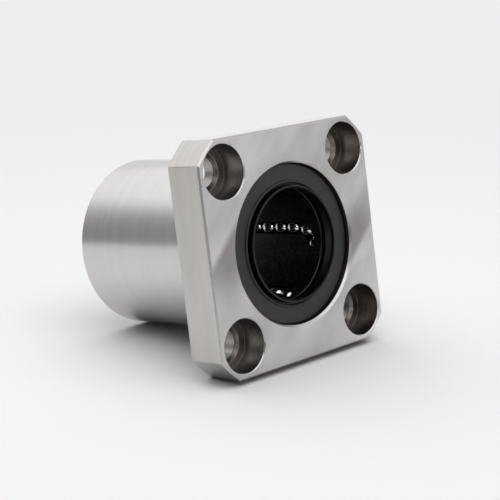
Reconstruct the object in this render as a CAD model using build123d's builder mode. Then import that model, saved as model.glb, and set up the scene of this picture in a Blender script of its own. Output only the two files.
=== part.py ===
from build123d import *
from math import acos, cos, degrees, pi, radians, sin, sqrt, tan
import os

os.makedirs("parts", exist_ok=True)

# Flanged linear ball bearing for a 20 mm shaft. All sizes are in millimetres.
# The bore runs along Y. The origin is the bore's centre on the flange's mounting face.
# The barrel points to +Y, the counterbored front face looks to -Y, and Z is up.

# Shaft and balls
shaft_d = 20.0
ball_d = 3.175
ball_lift = 0.0125  # radial play between a loaded ball and the shaft
race_clearance = 0.05  # radial play between a loaded ball and its raceway
circuits = 5
first_row_angle = 5.0  # from +X towards +Z, the loaded row of the first circuit
return_rise = 0.9125  # how much further out the unloaded row runs
ball_gap = 0.03  # between neighbouring balls in a turn
balls_per_turn = 3
turn_tilt = 6.0  # degrees by which a turn climbs off the shaft

# Sleeve: barrel and flange in one piece of ground steel
overall_length = 42.0
barrel_wall = 1.5  # at the seal seats, the thinnest place
flange_t = 8.0
flange_overhang = 5.0  # from the barrel to the milled flats
corner_overhang = 11.0  # from the barrel to the turned arcs at the corners
barrel_chamfer = 0.6
flange_edge_break = 0.35
seat_chamfer = 0.4
turn_bore_clearance = 0.15  # outside the unloaded balls
race_lead_angle = 30.0  # slope by which the raceway runs out before the turns, where the load eases off

# Screws: four counterbored holes for M5 socket head screws
screw_offset = 5.5  # from the barrel to the screws' centres
screw_hole_d = 5.5
screw_head_d = 9.5
screw_web = 2.9  # steel left under the screw heads
screw_hole_chamfer = 0.6
counterbore_edge_break = 0.2

# Cage
cage_shaft_gap = 0.4
cage_race_gap = 0.2
channel_clearance = 0.1  # around the balls
cage_end_wall = 0.9  # shortest wall between a turn and the cage's end
cage_chamfer = 0.3

# Seals
seal_shoulder = 0.25  # step from the turn bore up to the seal seat
seat_depth = 3.4
seal_recess = 1.2  # from the bearing's end to the seal's face
seal_edge_chamfer = 0.3
lip_tip_depth = 0.15  # the lip stands forward, almost flush with the bearing's end
lip_tip_t = 0.45
lip_tip_chamfer = 0.1
lip_land = 0.4  # cylindrical edge that wipes the shaft
lip_root_depth = 2.5
lip_root_t = 0.6
groove_w = 0.3  # between the lip and the bead
groove_h = 0.3
bead_w = 0.5
bead_h = 0.3

# Worked out from the sizes above
shaft_r = shaft_d / 2
ball_r = ball_d / 2
load_row_r = shaft_r + ball_lift + ball_r
return_row_r = load_row_r + return_rise
raceway_r = load_row_r + ball_r + race_clearance
channel_r = ball_r + channel_clearance
turn_bore_r = return_row_r + ball_r + turn_bore_clearance
seat_r = turn_bore_r + seal_shoulder
barrel_d = 2 * (seat_r + barrel_wall)
flange_side = barrel_d + 2 * flange_overhang
flange_disc_d = barrel_d + 2 * corner_overhang
bolt_circle_d = barrel_d + 2 * screw_offset
screw_spacing = bolt_circle_d / sqrt(2)
screw_head_depth = flange_t - screw_web
front_y = -flange_t
rear_y = overall_length - flange_t
middle_y = (front_y + rear_y) / 2

# A turn holds a whole number of balls, each one ball and a gap from the next across the chord.
turn_r = (ball_d + ball_gap) / (2 * sin(pi / balls_per_turn / 2))
pitch = pi * turn_r / balls_per_turn
turn_reach = turn_r + channel_r + cage_end_wall
row_room = overall_length - 2 * (seat_depth + turn_reach)
balls_per_row = int(row_room / pitch)
row_length = balls_per_row * pitch
row_front_y = middle_y - row_length / 2
row_rear_y = middle_y + row_length / 2

# The two rows of a circuit lie two turn radii apart, so the law of cosines gives the angle between them.
row_angle = degrees(
    acos((load_row_r**2 + return_row_r**2 - (2 * turn_r) ** 2) / (2 * load_row_r * return_row_r))
)
cage_inner_r = shaft_r + cage_shaft_gap
cage_outer_r = raceway_r - cage_race_gap
cage_front_y = front_y + seat_depth
cage_rear_y = rear_y - seat_depth


def row_centre(radius, angle):
    """Centre of a row of balls where it crosses Y = 0."""
    return Vector(radius * cos(radians(angle)), 0, radius * sin(radians(angle)))


def circuit_angle(number):
    """Angle of a circuit's loaded row. The circuits follow each other clockwise, seen from the front."""
    return first_row_angle - number * 360 / circuits


def circuit_rows(number):
    """Centres of a circuit's loaded and unloaded rows where they cross Y = 0."""
    angle = circuit_angle(number)
    return row_centre(load_row_r, angle), row_centre(return_row_r, angle - row_angle)


def rows_plane(number, y):
    """Plane across both rows: x from the loaded row to the unloaded one, y outwards, z towards the front."""
    loaded, unloaded = circuit_rows(number)
    centre = (loaded + unloaded) / 2 + Vector(0, y, 0)
    return Plane(origin=centre, x_dir=unloaded - loaded, z_dir=(0, -1, 0))


def turn_plane(number, end):
    """Plane in which a turn starts. The balls enter it at x = turn_r and leave along z.

    The end is "rear" where the loaded row runs into the turn, and "front" where the unloaded row does.
    Its y is the axis that the turn bends round, and points outwards.
    """
    loaded, unloaded = circuit_rows(number)
    across = (unloaded - loaded).normalized()
    along = Vector(0, 1, 0)
    outwards = along.cross(across * -1)
    if end == "rear":
        centre_y, side, way = row_rear_y, across * -1, along
    else:
        centre_y, side, way = row_front_y, across, along * -1
    tilt = radians(turn_tilt)
    leave = way * cos(tilt) + outwards * sin(tilt)
    centre = (loaded + unloaded) / 2 + along * centre_y
    return Plane(origin=centre, x_dir=side, z_dir=leave)


def turn_places(number, end):
    """Ball centres in a turn, the first half a step from its start."""
    plane = turn_plane(number, end)
    step = pi / balls_per_turn
    angles = [(i + 0.5) * step for i in range(balls_per_turn)]
    return [plane.origin + (plane.x_dir * cos(a) + plane.z_dir * sin(a)) * turn_r for a in angles]


def row_places(centre, start_y, step):
    """Ball centres in a straight row, the first half a step from its start."""
    return [centre + Vector(0, start_y + (i + 0.5) * step, 0) for i in range(balls_per_row)]


def ball_group(name, places):
    """Equal balls that move as one, written as one node."""
    with BuildPart() as balls:
        with Locations(*places):
            Sphere(ball_r)
    balls.part.label = name
    export_step(balls.part, f"parts/{name}.step")


def end_seal(name, end_y, inwards):
    """Rubber ring with a flat face, a bead, a groove and a lip that meets the shaft.

    Depths are measured from the bearing's end at Y = end_y, in the direction inwards, 1 or -1.
    """

    def at(radius, depth):
        return (radius, end_y + inwards * depth)

    lip_root_r = shaft_r + lip_root_t
    bead_start_r = lip_root_r + groove_w
    bead_end_r = bead_start_r + bead_w
    groove_depth = seal_recess + groove_h
    with BuildPart() as seal:
        with BuildSketch(Plane.XY):
            with BuildLine():
                Polyline(
                    at(bead_end_r, seal_recess),
                    at(seat_r - seal_edge_chamfer, seal_recess),
                    at(seat_r, seal_recess + seal_edge_chamfer),
                    at(seat_r, seat_depth),
                    at(cage_inner_r, seat_depth),
                    at(cage_inner_r, lip_root_depth),
                    at(shaft_r, lip_tip_depth + lip_tip_chamfer + lip_land),
                    at(shaft_r, lip_tip_depth + lip_tip_chamfer),
                    at(shaft_r + lip_tip_chamfer, lip_tip_depth),
                    at(shaft_r + lip_tip_t, lip_tip_depth),
                    at(lip_root_r, groove_depth),
                    at(bead_start_r, groove_depth),
                    at(bead_start_r, seal_recess),
                )
                ThreePointArc(
                    at(bead_start_r, seal_recess),
                    at((bead_start_r + bead_end_r) / 2, seal_recess - bead_h),
                    at(bead_end_r, seal_recess),
                )
            make_face()
        revolve(axis=Axis.Y)
    seal.part.label = name
    export_step(seal.part, f"parts/{name}.step")


# Sleeve: the flange is a turned disc milled down to a square, so its corners keep the disc's arcs.
with BuildPart() as flanged_sleeve:
    with BuildSketch(Plane.XZ):
        Circle(flange_disc_d / 2)
        Rectangle(flange_side, flange_side, mode=Mode.INTERSECT)
    extrude(amount=flange_t)
    flange_rims = faces().filter_by(Axis.Y).edges()
    chamfer(flange_rims, flange_edge_break)
    with BuildSketch(Plane.XZ):
        Circle(barrel_d / 2)
    extrude(amount=-rear_y)
    chamfer(faces().sort_by(Axis.Y)[-1].edges(), barrel_chamfer)
    # The bore steps from the seal seats to the turn bores and slopes down to the raceway.
    race_lead = (turn_bore_r - raceway_r) / tan(radians(race_lead_angle))
    with BuildSketch(Plane.XY):
        with BuildLine():
            Polyline(
                (0, front_y),
                (seat_r + seat_chamfer, front_y),
                (seat_r, front_y + seat_chamfer),
                (seat_r, front_y + seat_depth),
                (turn_bore_r, front_y + seat_depth),
                (turn_bore_r, row_front_y),
                (raceway_r, row_front_y + race_lead),
                (raceway_r, row_rear_y - race_lead),
                (turn_bore_r, row_rear_y),
                (turn_bore_r, rear_y - seat_depth),
                (seat_r, rear_y - seat_depth),
                (seat_r, rear_y - seat_chamfer),
                (seat_r + seat_chamfer, rear_y),
                (0, rear_y),
                close=True,
            )
        make_face()
    revolve(axis=Axis.Y, mode=Mode.SUBTRACT)
    # Grooves beside the raceways give the unloaded balls room to run back.
    with BuildSketch(Plane.XZ.offset(-row_front_y)):
        with PolarLocations(return_row_r, circuits, start_angle=first_row_angle - row_angle):
            Circle(channel_r)
    extrude(amount=-row_length, mode=Mode.SUBTRACT)
    # Screw holes, each with a counterbore whose rim is broken and a chamfer under the head.
    with Locations(Plane.XZ.offset(flange_t)):
        with GridLocations(screw_spacing, screw_spacing, 2, 2):
            CounterBoreHole(screw_hole_d / 2, screw_head_d / 2, screw_head_depth, depth=flange_t)
    counterbore_rims = (
        edges()
        .filter_by(GeomType.CIRCLE)
        .filter_by(lambda e: abs(e.radius - screw_head_d / 2) < 1e-6)
        .group_by(Axis.Y)[0]
    )
    chamfer(counterbore_rims, counterbore_edge_break)
    hole_rims = (
        edges()
        .filter_by(GeomType.CIRCLE)
        .filter_by(lambda e: abs(e.radius - screw_hole_d / 2) < 1e-6)
        .group_by(Axis.Y)[0]
    )
    chamfer(hole_rims, screw_hole_chamfer)
flanged_sleeve.part.label = "flanged_sleeve"
export_step(flanged_sleeve.part, "parts/flanged_sleeve.step")

# Cage: a moulded ring with five endless channels, open outwards and slotted towards the shaft where they carry load.
with BuildPart() as ball_cage:
    with BuildSketch(Plane.XZ.offset(-cage_rear_y)):
        Circle(cage_outer_r)
        Circle(cage_inner_r, mode=Mode.SUBTRACT)
    extrude(amount=cage_rear_y - cage_front_y)
    chamfer(edges().filter_by(GeomType.CIRCLE), cage_chamfer)
    for number in range(circuits):
        # Both straight rows at once, a little longer than the rows because the turns start tilted.
        overrun = channel_r * tan(radians(turn_tilt))
        with BuildSketch(rows_plane(number, row_rear_y + overrun)):
            with GridLocations(2 * turn_r, 1, 2, 1):
                Circle(channel_r)
                Rectangle(2 * channel_r, ball_d, align=(Align.CENTER, Align.MIN))
        extrude(amount=row_length + 2 * overrun, mode=Mode.SUBTRACT)
        for end in ("front", "rear"):
            turn = turn_plane(number, end)
            with BuildSketch(turn):
                with Locations((turn_r, 0)):
                    Circle(channel_r)
                    Rectangle(2 * channel_r, ball_d, align=(Align.CENTER, Align.MIN))
            revolve(axis=Axis(turn.origin, turn.y_dir * -1), revolution_arc=180, mode=Mode.SUBTRACT)
ball_cage.part.label = "ball_cage"
export_step(ball_cage.part, "parts/ball_cage.step")

end_seal("front_seal", front_y, 1)
end_seal("rear_seal", rear_y, -1)

# Balls: the loaded ones travel to the rear, round the rear turn, back to the front and round the front turn.
for number in range(circuits):
    loaded, unloaded = circuit_rows(number)
    ball_group(f"loaded_balls_{number + 1}", row_places(loaded, row_front_y, pitch))
    ball_group(f"rear_turn_balls_{number + 1}", turn_places(number, "rear"))
    ball_group(f"return_balls_{number + 1}", row_places(unloaded, row_rear_y, -pitch))
    ball_group(f"front_turn_balls_{number + 1}", turn_places(number, "front"))
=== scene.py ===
from math import atan, cos, pi, radians, sin, sqrt

import bmesh
import bpy
from mathutils import Matrix, Vector

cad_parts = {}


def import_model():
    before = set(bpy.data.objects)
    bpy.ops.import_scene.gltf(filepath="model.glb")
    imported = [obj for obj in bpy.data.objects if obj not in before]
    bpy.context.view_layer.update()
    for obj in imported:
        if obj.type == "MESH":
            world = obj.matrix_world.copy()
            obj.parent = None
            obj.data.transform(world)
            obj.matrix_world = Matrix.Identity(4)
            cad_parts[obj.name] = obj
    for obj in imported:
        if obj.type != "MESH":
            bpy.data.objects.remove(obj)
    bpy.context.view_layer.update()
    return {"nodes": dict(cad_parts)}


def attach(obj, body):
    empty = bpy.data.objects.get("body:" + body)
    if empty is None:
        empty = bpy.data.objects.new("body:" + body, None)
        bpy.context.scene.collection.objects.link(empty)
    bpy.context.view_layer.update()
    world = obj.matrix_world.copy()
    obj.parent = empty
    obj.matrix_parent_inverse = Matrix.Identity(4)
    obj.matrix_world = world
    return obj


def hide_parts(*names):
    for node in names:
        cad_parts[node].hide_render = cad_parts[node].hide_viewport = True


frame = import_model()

cad_nodes = frame["nodes"]

# Flanged linear ball bearing for a 20 mm shaft. Sizes are metres, written as millimetres times mm.
# The bore runs along Y, the counterbored face looks to -Y, the barrel points to +Y and Z is up.
mm = 0.001
barrel_r = 16.0 * mm
flange_half = 21.0 * mm
flange_t = 8.0 * mm
overall_length = 42.0 * mm
seat_r = 14.5 * mm
mouth_chamfer = 0.4 * mm
barrel_chamfer = 0.6 * mm
flange_disc_r = 27.0 * mm
flange_edge_break = 0.35 * mm
screw_axis = 30.4056 / 2 * mm  # from the bore's axis, along X and along Z
screw_hole_r = 2.75 * mm
front_y = -flange_t
rear_y = overall_length - flange_t
middle_y = (front_y + rear_y) / 2
edge_round = 0.05 * mm  # on the sleeve's outer edges
sharp_angle = radians(20)  # an edge that turns by more is a corner
noise_low, noise_high = 0.3, 0.7  # most of a noise lies between these


# Materials

def linear(hex_colour):
    """An sRGB hex value as a linear colour with alpha."""
    parts = [int(hex_colour[i:i + 2], 16) / 255 for i in (1, 3, 5)]
    return [c / 12.92 if c <= 0.04045 else ((c + 0.055) / 1.055) ** 2.4 for c in parts] + [1.0]


def add(tree, kind, inputs=None, stops=(), **settings):
    """Adds a node with its settings. An input is a value, or the socket that is linked to it.

    The two stops of a colour ramp are a place and a hex value each. A Mix takes numbers at its inputs 2
    and 3, and colours at 6 and 7, which leave by its output 2.
    """
    made = tree.nodes.new(kind)
    for name, value in settings.items():
        setattr(made, name, value)
    for key, value in (inputs or {}).items():
        if isinstance(value, bpy.types.NodeSocket):
            tree.links.new(value, made.inputs[key])
        else:
            made.inputs[key].default_value = value
    for number, (place, colour) in enumerate(stops):
        made.color_ramp.elements[number].position = place
        made.color_ramp.elements[number].color = linear(colour)
    return made


def material(name, base, roughness, metallic=0.0, **constants):
    """A material with its shader's constants set. Returns it with its tree and shader."""
    made = bpy.data.materials.new(name)
    made.use_nodes = True
    tree = made.node_tree
    shader = tree.nodes["Principled BSDF"]
    shader.inputs["Base Color"].default_value = linear(base)
    shader.inputs["Roughness"].default_value = roughness
    shader.inputs["Metallic"].default_value = metallic
    for key, value in constants.items():
        shader.inputs[key.replace("_", " ")].default_value = value
    return made, tree, shader


def stretched_noise(tree, scale, detail=4.0, roughness=0.6):
    """Noise on Object coordinates, stretched by a scale for each axis, in waves per metre."""
    place = add(tree, "ShaderNodeTexCoord").outputs["Object"]
    mapped = add(tree, "ShaderNodeMapping", {"Vector": place, "Scale": scale}).outputs["Vector"]
    settings = {"Vector": mapped, "Scale": 1.0, "Detail": detail, "Roughness": roughness}
    return add(tree, "ShaderNodeTexNoise", settings).outputs["Fac"]


def round_the_bore(tree):
    """Distance from the bore's axis and place along it, as a vector, so that noise on it runs in rings."""
    place = add(tree, "ShaderNodeTexCoord").outputs["Object"]
    flat = add(tree, "ShaderNodeVectorMath", {0: place, 1: (1, 0, 1)}, operation="MULTIPLY").outputs[0]
    radius = add(tree, "ShaderNodeVectorMath", {0: flat}, operation="LENGTH").outputs["Value"]
    along = add(tree, "ShaderNodeSeparateXYZ", {0: place}).outputs["Y"]
    return add(tree, "ShaderNodeCombineXYZ", {"X": radius, "Y": along}).outputs["Vector"]


def spread(noise, low, high):
    """A Map Range's inputs that take most of a noise from low to high."""
    return {"Value": noise, "From Min": noise_low, "From Max": noise_high, "To Min": low, "To Max": high}


def apply_pattern(tree, shader, noise, roughness, colours=None, bump=None):
    """Varies a surface by a noise: its roughness from low to high, and where they are given, its colour
    between two hex values and its height by a bump's strength and depth.
    """
    rough = add(tree, "ShaderNodeMapRange", spread(noise, *roughness)).outputs[0]
    tree.links.new(rough, shader.inputs["Roughness"])
    if colours:
        stops = [(noise_low, colours[0]), (noise_high, colours[1])]
        tint = add(tree, "ShaderNodeValToRGB", {"Fac": noise}, stops).outputs["Color"]
        tree.links.new(tint, shader.inputs["Base Color"])
    if bump:
        strength, depth = bump
        relief = add(tree, "ShaderNodeBump", {"Height": noise, "Strength": strength, "Distance": depth})
        tree.links.new(relief.outputs["Normal"], shader.inputs["Normal"])


def ground_barrel_steel():
    """Bearing steel, cylindrically ground: a bright soft sheen with very fine rings round the axis."""
    made, tree, shader = material(
        "ground_barrel_steel", "#cccac9", 0.22, metallic=1.0, Anisotropic=0.4, Anisotropic_Rotation=0.25
    )
    rings = round_the_bore(tree)
    # Grinding lines are a few hundredths of a millimetre wide. Here the widest are 0.6 mm, to show.
    fine = {"Vector": rings, "Scale": 1600.0, "Detail": 4.0}
    lines = add(tree, "ShaderNodeTexNoise", fine).outputs["Fac"]
    # Slower bands, some millimetres wide, where the wheel dwelt.
    slow = {"Vector": rings, "Scale": 500.0, "Detail": 1.0}
    bands = add(tree, "ShaderNodeTexNoise", slow).outputs["Fac"]
    mixed = add(tree, "ShaderNodeMix", {"Factor": 0.15, 2: lines, 3: bands}, data_type="FLOAT").outputs[0]
    apply_pattern(tree, shader, mixed, (0.22, 0.24), colours=("#cac8c7", "#cfcdcc"))
    tangent = add(tree, "ShaderNodeTangent", direction_type="RADIAL", axis="Y").outputs["Tangent"]
    tree.links.new(tangent, shader.inputs["Tangent"])
    bump = add(tree, "ShaderNodeBump", {"Height": lines, "Strength": 0.03, "Distance": 0.02 * mm})
    tree.links.new(bump.outputs["Normal"], shader.inputs["Normal"])
    return made


def ground_face_steel():
    """Bearing steel, surface ground: satin, with faint cloudy smears, two streaks of painted dark
    reflection and a few dark specks.
    """
    made, tree, shader = material("ground_face_steel", "#c0bdbc", 0.26, metallic=1.0)
    place = add(tree, "ShaderNodeTexCoord").outputs["Object"]
    # The wheel ran at 45 degrees. Turned by that, X lies across its lay and Z along it.
    turned = add(tree, "ShaderNodeMapping", {"Vector": place, "Rotation": (0, radians(-45), 0)}).outputs[0]
    # Soft smears along the lay, about 8 mm wide and 20 mm long.
    long = add(tree, "ShaderNodeMapping", {"Vector": turned, "Scale": (120, 60, 50)}).outputs[0]
    smears = add(tree, "ShaderNodeTexNoise", {"Vector": long, "Scale": 1.0, "Detail": 2.0}).outputs["Fac"]
    # Two streaks of painted dark reflection along the lay, left and right of the bore, each with its
    # sharper edge outside.
    lay = add(tree, "ShaderNodeSeparateXYZ", {"Vector": turned}).outputs
    across = add(tree, "ShaderNodeMath", {0: lay["X"]}, operation="ABSOLUTE").outputs[0]
    inner_settings = {"Value": across, "From Min": 5 * mm, "From Max": 10.5 * mm}
    inner = add(tree, "ShaderNodeMapRange", inner_settings).outputs[0]
    outer_settings = {"Value": across, "From Min": 14.8 * mm, "From Max": 13.2 * mm}
    outer = add(tree, "ShaderNodeMapRange", outer_settings, interpolation_type="SMOOTHSTEP").outputs[0]
    both = add(tree, "ShaderNodeMath", {0: lay["X"], 1: lay["Z"]}, operation="MULTIPLY").outputs[0]
    side_settings = {"Value": both, "From Min": 10 * mm * mm, "From Max": 110 * mm * mm}
    side = add(tree, "ShaderNodeMapRange", side_settings, interpolation_type="SMOOTHSTEP").outputs[0]
    reach = add(tree, "ShaderNodeMath", {0: lay["Z"]}, operation="ABSOLUTE").outputs[0]
    end_settings = {"Value": reach, "From Min": 21 * mm, "From Max": 12 * mm}
    ends = add(tree, "ShaderNodeMapRange", end_settings, interpolation_type="SMOOTHSTEP").outputs[0]
    width = add(tree, "ShaderNodeMath", {0: inner, 1: outer}, operation="MULTIPLY").outputs[0]
    length = add(tree, "ShaderNodeMath", {0: side, 1: ends}, operation="MULTIPLY").outputs[0]
    painted_reflection_streaks = add(tree, "ShaderNodeMath", {0: width, 1: length}, operation="MULTIPLY").outputs[0]
    # Grit marks, about 0.15 mm across.
    grit = {"Vector": place, "Scale": 6500.0, "Detail": 2.0}
    grain = add(tree, "ShaderNodeTexNoise", grit).outputs["Fac"]
    mixed = add(tree, "ShaderNodeMix", {"Factor": 0.2, 2: smears, 3: grain}, data_type="FLOAT").outputs[0]
    apply_pattern(tree, shader, mixed, (0.16, 0.34))
    clean_stops = [(0.36, "#acaaa9"), (0.62, "#cdcbca")]
    clean = add(tree, "ShaderNodeValToRGB", {"Fac": mixed}, clean_stops).outputs["Color"]
    # Painted dark reflection: the streaks darken the colour towards #918e8c.
    painted_reflection_settings = {"Factor": painted_reflection_streaks, 6: clean, 7: linear("#918e8c")}
    with_painted_reflection = add(tree, "ShaderNodeMix", painted_reflection_settings, data_type="RGBA").outputs[2]
    # A few dark pits about 0.2 mm across: small round spots in one of six cells of 5 mm.
    cells = add(tree, "ShaderNodeTexVoronoi", {"Vector": place, "Scale": 200.0}).outputs
    near = add(tree, "ShaderNodeMath", {0: cells["Distance"], 1: 0.02}, operation="LESS_THAN").outputs[0]
    pick = add(tree, "ShaderNodeSeparateColor", {"Color": cells["Color"]}).outputs["Red"]
    chosen = add(tree, "ShaderNodeMath", {0: pick, 1: 0.84}, operation="GREATER_THAN").outputs[0]
    pits = add(tree, "ShaderNodeMath", {0: near, 1: chosen}, operation="MULTIPLY").outputs[0]
    pit_settings = {"Factor": pits, 6: with_painted_reflection, 7: linear("#4a4744")}
    tint = add(tree, "ShaderNodeMix", pit_settings, data_type="RGBA").outputs[2]
    tree.links.new(tint, shader.inputs["Base Color"])
    bump = add(tree, "ShaderNodeBump", {"Height": grain, "Strength": 0.02, "Distance": 0.02 * mm})
    tree.links.new(bump.outputs["Normal"], shader.inputs["Normal"])
    return made


def milled_side_steel():
    """Hardened bearing steel, as milled and turned: the flange's flats and corners, with fine lines."""
    made, tree, shader = material("milled_side_steel", "#c3bfbc", 0.26, metallic=1.0)
    # Lines run square to the bore, from 1 mm down to 0.1 mm apart and some centimetres long.
    brushed = stretched_noise(tree, (35, 900, 35), detail=5.0, roughness=0.5)
    colours = ("#b8b5b2", "#c1bebb")
    apply_pattern(tree, shader, brushed, (0.19, 0.26), colours, bump=(0.02, 0.02 * mm))
    return made


def bored_steel():
    """Bored steel, darkened by hardening and not ground: the counterbores and the barrel's bore."""
    made, tree, shader = material("bored_steel", "#736e6a", 0.32, metallic=1.0)
    # Rings from the tool, 0.17 mm apart and some millimetres long.
    rings = stretched_noise(tree, (150, 6000, 150), detail=3.0)
    apply_pattern(tree, shader, rings, (0.24, 0.40), ("#66615d", "#87827f"), bump=(0.2, 0.02 * mm))
    return made


def drilled_steel():
    """Drilled steel, hardened but less dark than the counterbores: the screw holes."""
    made, tree, shader = material("drilled_steel", "#a09c99", 0.3, metallic=1.0)
    # Rings from the drill, about 0.2 mm apart.
    rings = stretched_noise(tree, (150, 5000, 150), detail=2.0)
    apply_pattern(tree, shader, rings, (0.24, 0.36))
    return made


def broken_edge_steel():
    """Tumbled steel, duller than the faces beside it: the breaks along the flange's outline."""
    made, tree, shader = material("broken_edge_steel", "#bfbcba", 0.3, metallic=1.0)
    # Tumbling marks, about 0.2 mm across.
    marks = stretched_noise(tree, (5000, 5000, 5000), detail=2.0)
    apply_pattern(tree, shader, marks, (0.26, 0.33))
    return made


def lapped_ball_steel():
    """Chrome steel, lapped to a mirror: the balls."""
    made, tree, shader = material("lapped_ball_steel", "#cfcfd0", 0.04, metallic=1.0)
    # Slight haze, about 1 mm across.
    haze = stretched_noise(tree, (900, 900, 900), detail=2.0)
    apply_pattern(tree, shader, haze, (0.03, 0.07))
    return made


def moulded_acetal():
    """Black acetal, injection moulded, smooth and a little glossy: the cage."""
    made, tree, shader = material("moulded_acetal", "#050505", 0.28, IOR=1.48, Specular_IOR_Level=0.35)
    # Slight sink and flow marks, about 1.5 mm across.
    skin = stretched_noise(tree, (600, 600, 600), detail=2.0)
    apply_pattern(tree, shader, skin, (0.24, 0.34), bump=(0.03, 0.05 * mm))
    return made


def nitrile_rubber():
    """Black nitrile rubber, matte from an eroded mould, smoother in the lips and darker there from grease
    and painted shade: the seals.
    """
    made, tree, shader = material("nitrile_rubber", "#1d1d1d", 0.5, IOR=1.52)
    # Spark eroded texture, about 0.1 mm across.
    skin = stretched_noise(tree, (8000, 8000, 8000), detail=2.0)
    # Dust, in patches about 2.5 mm across.
    dust = stretched_noise(tree, (400, 400, 400), detail=4.0)
    # The lip's tip is a ring from 20 mm to 20.9 mm wide, of which only the outer edge is dusty. Behind it
    # the lip is clean and greased, inside and outside, and dark from the grease and from painted shade.
    bore = add(tree, "ShaderNodeSeparateXYZ", {"Vector": round_the_bore(tree)}).outputs
    past_middle = add(tree, "ShaderNodeMath", {0: bore["Y"], 1: middle_y}, operation="SUBTRACT").outputs[0]
    end_reach = add(tree, "ShaderNodeMath", {0: past_middle}, operation="ABSOLUTE").outputs[0]
    behind_settings = {
        "Value": end_reach,
        "From Min": overall_length / 2 - 0.3 * mm,
        "From Max": overall_length / 2 - 0.5 * mm,
        "To Min": 0.0,
        "To Max": 0.32 * mm,
    }
    behind_tip = add(tree, "ShaderNodeMapRange", behind_settings).outputs[0]
    inner = add(tree, "ShaderNodeMath", {0: bore["X"], 1: behind_tip}, operation="SUBTRACT").outputs[0]
    lip_settings = {"Value": inner, "From Min": 10.36 * mm, "From Max": 10.28 * mm}
    lip_grease_and_painted_shade = add(tree, "ShaderNodeMapRange", lip_settings).outputs[0]
    matte = add(tree, "ShaderNodeMapRange", spread(dust, 0.42, 0.6)).outputs[0]
    sheen = add(tree, "ShaderNodeMix", {"Factor": lip_grease_and_painted_shade, 2: matte, 3: 0.3}, data_type="FLOAT").outputs[0]
    tree.links.new(sheen, shader.inputs["Roughness"])
    level = add(tree, "ShaderNodeMix", {"Factor": lip_grease_and_painted_shade, 2: 0.5, 3: 0.12}, data_type="FLOAT").outputs[0]
    tree.links.new(level, shader.inputs["Specular IOR Level"])
    dusty_stops = [(noise_low, "#151515"), (noise_high, "#1c1c1c")]
    dusty = add(tree, "ShaderNodeValToRGB", {"Fac": dust}, dusty_stops).outputs["Color"]
    # Near black in the lips: partly grease, partly painted shade.
    tint_settings = {"Factor": lip_grease_and_painted_shade, 6: dusty, 7: linear("#020202")}
    tint = add(tree, "ShaderNodeMix", tint_settings, data_type="RGBA").outputs[2]
    tree.links.new(tint, shader.inputs["Base Color"])
    bump = add(tree, "ShaderNodeBump", {"Height": skin, "Strength": 0.15, "Distance": 0.03 * mm})
    tree.links.new(bump.outputs["Normal"], shader.inputs["Normal"])
    return made


# Sleeve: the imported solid's own shape, merged, with its outer edges broken by a fine round

sleeve_finishes = [
    ground_barrel_steel,
    ground_face_steel,
    milled_side_steel,
    bored_steel,
    broken_edge_steel,
    drilled_steel,
]


def outline_reach(place):
    """How far out a place lies, from 0 on the bore's axis to 1 on the flange's outline."""
    flats = max(abs(place.x), abs(place.z)) / flange_half
    return max(flats, sqrt(place.x ** 2 + place.z ** 2) / flange_disc_r)


def sleeve_finish(face):
    """The finish of one of the sleeve's faces, by where the face lies."""
    slack = 0.01 * mm
    places = [vert.co for vert in face.verts]
    first_y, last_y = min(p.y for p in places), max(p.y for p in places)
    if last_y - first_y < slack and min(abs(first_y - y) for y in (front_y, 0, rear_y)) < slack:
        return ground_face_steel
    if min(outline_reach(p) for p in places) > (flange_half - flange_edge_break - slack) / flange_half:
        # A flat or a turned corner stands square to the bore's axis, and a break leans.
        return broken_edge_steel if abs(face.normal.y) > 0.3 else milled_side_steel
    from_screw = max(sqrt((abs(p.x) - screw_axis) ** 2 + (abs(p.z) - screw_axis) ** 2) for p in places)
    if from_screw < screw_hole_r + slack:
        return drilled_steel
    least_r = min(sqrt(p.x ** 2 + p.z ** 2) for p in places)
    if least_r > barrel_r - barrel_chamfer - slack and first_y > -slack:
        return ground_barrel_steel
    if last_y < front_y + mouth_chamfer + slack or first_y > rear_y - mouth_chamfer - slack:
        return ground_face_steel
    return bored_steel


def dress_sleeve():
    """Copies the sleeve's solid, gives its faces their finishes and rounds its outer edges."""
    mesh = bpy.data.meshes.new("sleeve_body")
    copy = bmesh.new()
    copy.from_mesh(cad_nodes["flanged_sleeve"].data)
    bmesh.ops.remove_doubles(copy, verts=copy.verts, dist=0.001 * mm)
    # Triangles of one flat face become one face again.
    bmesh.ops.dissolve_limit(copy, angle_limit=radians(0.4), verts=copy.verts, edges=copy.edges)
    copy.normal_update()
    for face in copy.faces:
        face.smooth = True
        face.material_index = sleeve_finishes.index(sleeve_finish(face))
    # Only edges that show are rounded: those outside the seals' seats and at the bore's mouths.
    outer_edges = []
    for edge in copy.edges:
        middle = (edge.verts[0].co + edge.verts[1].co) / 2
        outside = sqrt(middle.x ** 2 + middle.z ** 2) > seat_r + edge_round
        at_mouth = min(middle.y - front_y, rear_y - middle.y) < 0.5 * mm
        if edge.calc_face_angle(0.0) > sharp_angle and (outside or at_mouth):
            outer_edges.append(edge)
    rounds = bmesh.ops.bevel(
        copy,
        geom=outer_edges,
        offset=edge_round,
        offset_type="OFFSET",
        segments=2,
        profile=0.5,
        affect="EDGES",
        clamp_overlap=True,
        material=-1,
    )
    # Each face is shaded apart from its rounds, so that flats stay flat and the barrel stays straight.
    round_faces = set(rounds["faces"])
    for face in round_faces:
        face.smooth = True
    for edge in copy.edges:
        in_rounds = sum(face in round_faces for face in edge.link_faces)
        inner_edge = in_rounds == 0 and edge.calc_face_angle(0.0) > sharp_angle
        edge.smooth = not (in_rounds == 1 or inner_edge)
    copy.to_mesh(mesh)
    copy.free()
    sleeve = bpy.data.objects.new("sleeve_body", mesh)
    bpy.context.scene.collection.objects.link(sleeve)
    for finish in sleeve_finishes:
        mesh.materials.append(finish())
    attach(sleeve, "bearing_body")
    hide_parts("flanged_sleeve")


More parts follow.
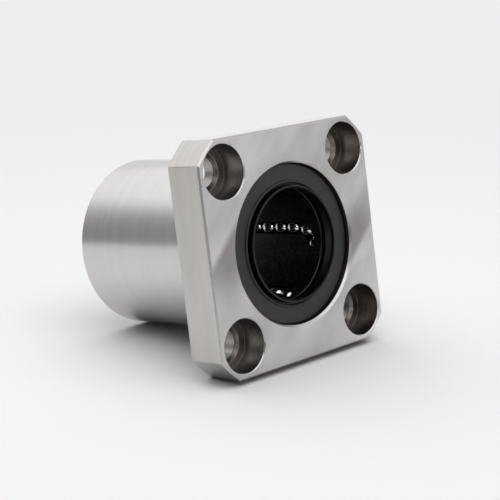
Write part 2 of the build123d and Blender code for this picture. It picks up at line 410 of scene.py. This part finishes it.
def finish_nodes():
    """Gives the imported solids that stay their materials."""
    balls, cage, seal = lapped_ball_steel(), moulded_acetal(), nitrile_rubber()
    for name, part in cad_nodes.items():
        if "balls" in name:
            chosen = balls
        elif name == "ball_cage":
            chosen = cage
        elif "seal" in name:
            chosen = seal
        else:
            continue
        part.material_slots[0].link = "OBJECT"
        part.material_slots[0].material = chosen


dress_sleeve()
finish_nodes()


# Studio: the bearing rests on its flange's edge and its barrel's end, so the table is tilted to it

flange_rest = Vector((0, -flange_edge_break, -flange_half))
barrel_rest = Vector((0, rear_y - barrel_chamfer, -barrel_r))
table_tilt = atan((barrel_rest.z - flange_rest.z) / (barrel_rest.y - flange_rest.y))
table_frame = Matrix.Translation(flange_rest) @ Matrix.Rotation(table_tilt, 4, "X")
backdrop = "#eeeeef"


def table():
    """Round white table whose top fades into the backdrop. Seen from below it isn't there."""
    radius = 1.2  # metres
    mesh = bpy.data.meshes.new("table")
    top = bmesh.new()
    bmesh.ops.create_circle(top, cap_ends=True, segments=96, radius=radius)
    top.to_mesh(mesh)
    top.free()
    made = bpy.data.objects.new("table", mesh)
    made.matrix_world = table_frame
    bpy.context.scene.collection.objects.link(made)
    paper = bpy.data.materials.new("white_paper")
    paper.use_nodes = True
    tree = paper.node_tree
    shader = tree.nodes["Principled BSDF"]
    shader.inputs["Base Color"].default_value = linear("#eeeeee")
    shader.inputs["Roughness"].default_value = 0.8
    shader.inputs["Specular IOR Level"].default_value = 0.2
    # From the camera the paper turns into the backdrop's colour, from 0.05 m out to 0.35 m.
    place = add(tree, "ShaderNodeTexCoord").outputs["Object"]
    reach = add(tree, "ShaderNodeVectorMath", {0: place}, operation="LENGTH").outputs["Value"]
    fade_settings = {"Value": reach, "From Min": 0.05, "From Max": 0.35}
    fade = add(tree, "ShaderNodeMapRange", fade_settings, interpolation_type="SMOOTHSTEP").outputs[0]
    far = add(tree, "ShaderNodeEmission", {"Color": linear(backdrop), "Strength": 1.0}).outputs[0]
    faded = add(tree, "ShaderNodeMixShader", {0: fade, 1: shader.outputs[0], 2: far}).outputs[0]
    clear = add(tree, "ShaderNodeBsdfTransparent").outputs[0]
    below = add(tree, "ShaderNodeNewGeometry").outputs["Backfacing"]
    both = add(tree, "ShaderNodeMixShader", {0: below, 1: faded, 2: clear}).outputs[0]
    tree.links.new(both, tree.nodes["Material Output"].inputs["Surface"])
    mesh.materials.append(paper)


def studio_place(azimuth, elevation, distance):
    """A place round the bearing over the table. Azimuth 0 is towards -Y and 90 towards +X."""
    a, e = radians(azimuth), radians(elevation)
    local = Vector((sin(a) * cos(e), -cos(a) * cos(e), sin(e))) * distance
    return Vector((0, middle_y, 0)) + table_frame.to_3x3() @ local


def aim(thing, place, target):
    """Puts a lamp, card or camera at a place and points its -Z at a target."""
    thing.location = place
    thing.rotation_mode = "QUATERNION"
    thing.rotation_quaternion = (target - place).to_track_quat("-Z", "Y")


def softbox(name, azimuth, elevation, distance, width, height, radiance, in_mirrors=True, on_matte=True):
    """A lamp with an even rectangular face. Mirrors see it on top of the backdrop, or not at all."""
    lamp = bpy.data.lights.new(name, "AREA")
    lamp.shape = "RECTANGLE"
    lamp.size, lamp.size_y = width, height
    lamp.energy = radiance * pi * width * height
    made = bpy.data.objects.new(name, lamp)
    bpy.context.scene.collection.objects.link(made)
    aim(made, studio_place(azimuth, elevation, distance), Vector((0, 0, 0)))
    made.visible_camera = False
    made.visible_glossy = in_mirrors
    made.visible_diffuse = on_matte


def world():
    """Pale all round. Only the camera and mirrors see the backdrop. The rest gets little light from it."""
    rest_strength = 0.03
    made = bpy.data.worlds.new("studio")
    bpy.context.scene.world = made
    made.use_nodes = True
    tree = made.node_tree
    background = tree.nodes["Background"]
    rays = add(tree, "ShaderNodeLightPath").outputs
    seen_rays = {0: rays["Is Camera Ray"], 1: rays["Is Transmission Ray"]}
    seen = add(tree, "ShaderNodeMath", seen_rays, operation="MAXIMUM").outputs[0]
    # A mirror that lights a matte surface doesn't pass the backdrop on.
    depth = {0: rays["Diffuse Depth"], 1: 0.5}
    direct = add(tree, "ShaderNodeMath", depth, operation="LESS_THAN").outputs[0]
    mirrored_rays = {0: rays["Is Glossy Ray"], 1: direct}
    mirrored = add(tree, "ShaderNodeMath", mirrored_rays, operation="MULTIPLY").outputs[0]
    full = add(tree, "ShaderNodeMath", {0: seen, 1: mirrored}, operation="MAXIMUM").outputs[0]
    strength = add(tree, "ShaderNodeMath", {0: full, 1: rest_strength}, operation="MAXIMUM").outputs[0]
    background.inputs["Color"].default_value = linear(backdrop)
    tree.links.new(strength, background.inputs["Strength"])


def dark_card(name, azimuth, elevation, distance, width, height, shade, full_to):
    """A card that only mirrors see, full from its middle to a part of its reach, then fading out."""
    mesh = bpy.data.meshes.new(name)
    sheet = bmesh.new()
    bmesh.ops.create_grid(sheet, x_segments=1, y_segments=1, size=0.5)
    bmesh.ops.scale(sheet, vec=(width, height, 1), verts=sheet.verts)
    sheet.to_mesh(mesh)
    sheet.free()
    made = bpy.data.objects.new(name, mesh)
    bpy.context.scene.collection.objects.link(made)
    aim(made, studio_place(azimuth, elevation, distance), Vector((0, 0, 0)))
    cloth = bpy.data.materials.new("dark_room")
    cloth.use_nodes = True
    tree = cloth.node_tree
    place = add(tree, "ShaderNodeTexCoord").outputs["Object"]
    to_edge = {0: place, 1: (2 / width, 2 / height, 0)}
    scaled = add(tree, "ShaderNodeVectorMath", to_edge, operation="MULTIPLY").outputs[0]
    reach = add(tree, "ShaderNodeVectorMath", {0: scaled}, operation="LENGTH").outputs["Value"]
    fade_settings = {"Value": reach, "From Min": full_to, "From Max": 1.0, "To Min": 1.0, "To Max": 0.0}
    full = add(tree, "ShaderNodeMapRange", fade_settings, interpolation_type="SMOOTHSTEP").outputs[0]
    dim = add(tree, "ShaderNodeEmission", {"Color": linear(shade), "Strength": 1.0}).outputs[0]
    clear = add(tree, "ShaderNodeBsdfTransparent").outputs[0]
    mixed = add(tree, "ShaderNodeMixShader", {0: full, 1: clear, 2: dim}).outputs[0]
    tree.links.new(mixed, tree.nodes["Material Output"].inputs["Surface"])
    mesh.materials.append(cloth)
    made.visible_camera = False
    made.visible_diffuse = False
    made.visible_shadow = False


table()
world()
# Azimuth, elevation, distance, width, height and radiance. Angles are degrees and lengths metres.
softbox("key_light", 165, 84, 0.7, 1.3, 1.3, 1.5, in_mirrors=False)
softbox("ceiling_light", -176, 61, 0.7, 1.0, 0.95, 0.4)
softbox("front_ceiling_light", -10, 54, 0.6, 1.0, 0.45, 0.8)
softbox("low_rear_light", 131, 4, 0.5, 0.18, 0.08, 0.45, on_matte=False)
softbox("front_light", -30, 15, 0.45, 0.12, 0.07, 6.0, on_matte=False)
softbox("rear_light", -157, 4, 0.5, 0.16, 0.12, 0.6, on_matte=False)
# Unlit room beside the table, and the dark camera side. The shade and the full part come last.
dark_card("dark_room_left", -143, 5, 0.34, 0.44, 0.46, "#8b8b8b", 0.05)
dark_card("dark_room_front", -43, 8, 0.55, 0.9, 0.6, "#2a2a2a", 0.7)


# Camera: the photo's, from its fitted place round the bearing

camera_azimuth, camera_elevation, camera_roll = radians(-43.399), radians(8.080), radians(-6.855)
camera_distance = 279.54 * mm
camera_target = Vector((4.260, 8.536, -2.232)) * mm
lens = bpy.data.cameras.new("camera")
lens.sensor_width = 36.0
lens.lens = 106.83
camera = bpy.data.objects.new("camera", lens)
bpy.context.scene.collection.objects.link(camera)
towards_camera = Vector((
    sin(camera_azimuth) * cos(camera_elevation),
    -cos(camera_azimuth) * cos(camera_elevation),
    sin(camera_elevation),
))
aim(camera, camera_target + towards_camera * camera_distance, camera_target)
level = camera.rotation_quaternion.to_matrix().to_4x4()
camera.rotation_quaternion = (level @ Matrix.Rotation(camera_roll, 4, "Z")).to_quaternion()
lens.clip_start, lens.clip_end = 0.01, 10.0
bpy.context.scene.camera = camera

bpy.context.scene.view_settings.view_transform = "Standard"
